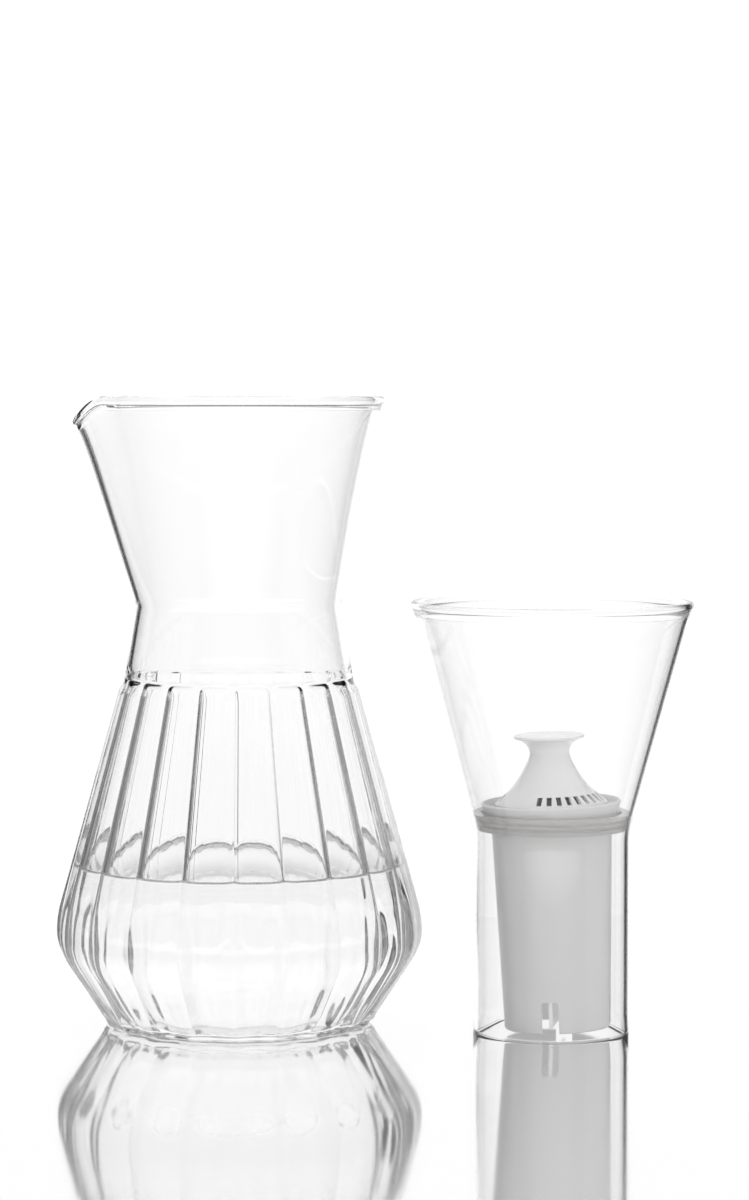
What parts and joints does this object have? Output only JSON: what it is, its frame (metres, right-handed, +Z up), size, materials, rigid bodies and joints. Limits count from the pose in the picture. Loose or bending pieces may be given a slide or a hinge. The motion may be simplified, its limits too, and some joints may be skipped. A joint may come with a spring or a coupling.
{
  "type": "filter carafe",
  "caption": "Fluted glass carafe with a waist, flared neck and drawn pouring lip, with its lift-out glass filter funnel and drop-in cartridge standing beside it.",
  "frame": {"origin": "centre of the carafe's flat base, on the table", "axes": "+Z up the carafe, -X towards the pouring lip, +X towards the funnel that stands beside it, -Y towards the front"},
  "size_m": [0.2674, 0.1548, 0.2651],
  "materials": {
    "clear_glass": "polished",
    "funnel_clear_glass": "polished",
    "silicone": "satin",
    "white_cap": "semi-gloss",
    "white_cup": "satin",
    "inlet_mesh": "woven",
    "granules": "granular",
    "outlet_mesh": "woven"
  },
  "bodies": {
    "carafe": {"carafe_glass": "clear_glass"},
    "funnel": {"funnel_glass": "funnel_clear_glass", "seal_ring": "silicone"},
    "cartridge": {"filter_cap": "white_cap", "filter_cup": "white_cup", "inlet_screen": "inlet_mesh", "filter_media": "granules", "outlet_screen": "outlet_mesh"}
  },
  "joints": [
    {"name": "funnel_lift", "type": "slide", "parent": "carafe", "child": "funnel", "axis": [0, 0, 1], "range_m": [0, 0.28]},
    {"name": "cartridge_lift", "type": "slide", "parent": "funnel", "child": "cartridge", "axis": [0, 0, 1], "range_m": [0, 0.185]}
  ]
}
